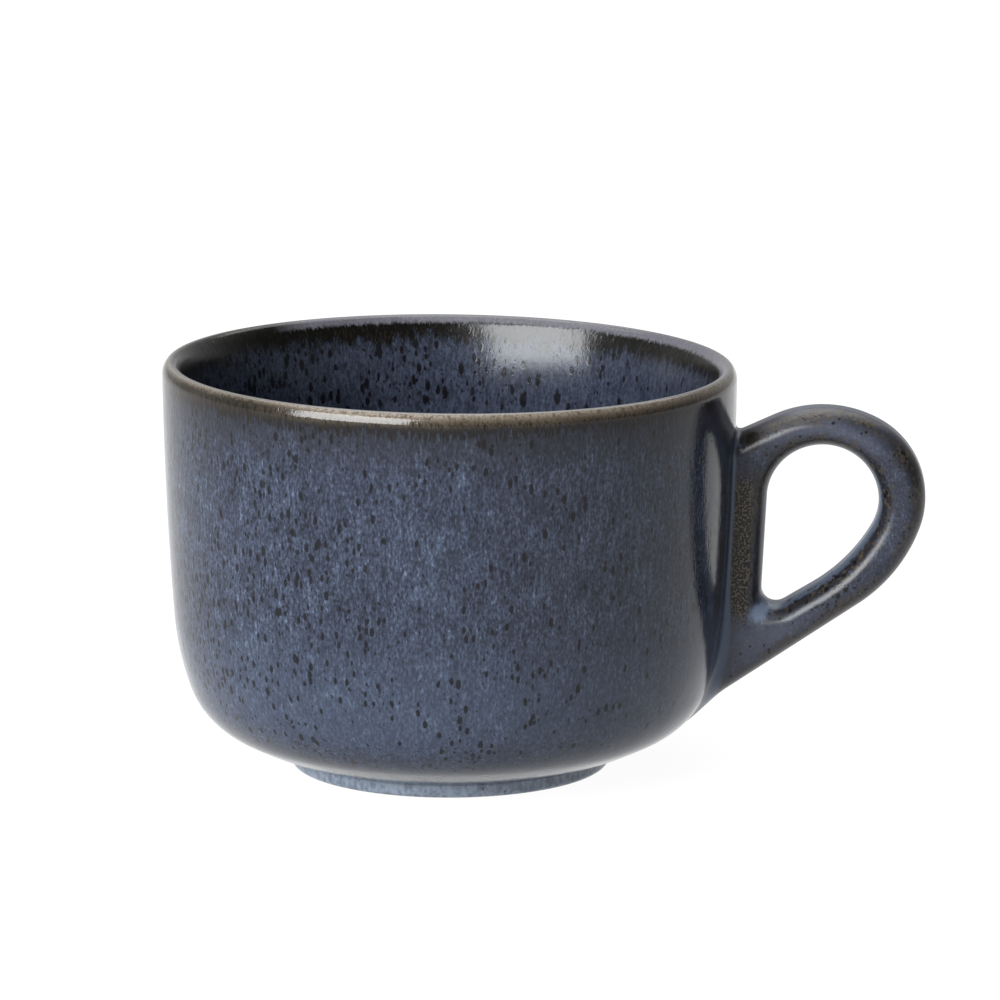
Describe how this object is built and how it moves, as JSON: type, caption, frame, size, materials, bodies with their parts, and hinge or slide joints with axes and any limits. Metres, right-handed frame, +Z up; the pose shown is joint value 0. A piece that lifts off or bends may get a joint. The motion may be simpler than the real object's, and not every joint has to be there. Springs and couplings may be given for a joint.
{
  "type": "ceramic mug",
  "caption": "Round glazed stoneware mug with a rounded lip, a low foot ring and a closed ear-shaped handle, for holding a hot drink.",
  "frame": {"origin": "on the cup's axis, in the plane of the foot ring's bearing face", "axes": "+Z up along the cup's axis, +X out toward the handle, +Y across the handle"},
  "size_m": [0.1192, 0.09, 0.0642],
  "materials": {
    "clay": "matte fired stoneware clay",
    "clay_foot": "bare sanded stoneware clay",
    "clay_handle": "matte fired stoneware clay",
    "slip": "matte fired slip",
    "glaze_wall": "gloss, mottled blue-grey with dark flecks",
    "glaze_inside": "gloss, dark blue with black flecks",
    "glaze_rim": "gloss, breaking brown over the lip",
    "glaze_handle": "gloss, blue-grey breaking brown on the ridges",
    "glaze_foot": "gloss, pale blue-grey",
    "glaze_base": "gloss, blue-grey"
  },
  "bodies": {
    "root": {"bowl": "clay", "foot_ring": "clay_foot", "handle": "clay_handle", "handle_lute": "slip", "outer_glaze": "glaze_wall", "inner_glaze": "glaze_inside", "rim_glaze": "glaze_rim", "handle_glaze": "glaze_handle", "foot_glaze": "glaze_foot", "base_glaze": "glaze_base"}
  },
  "joints": []
}
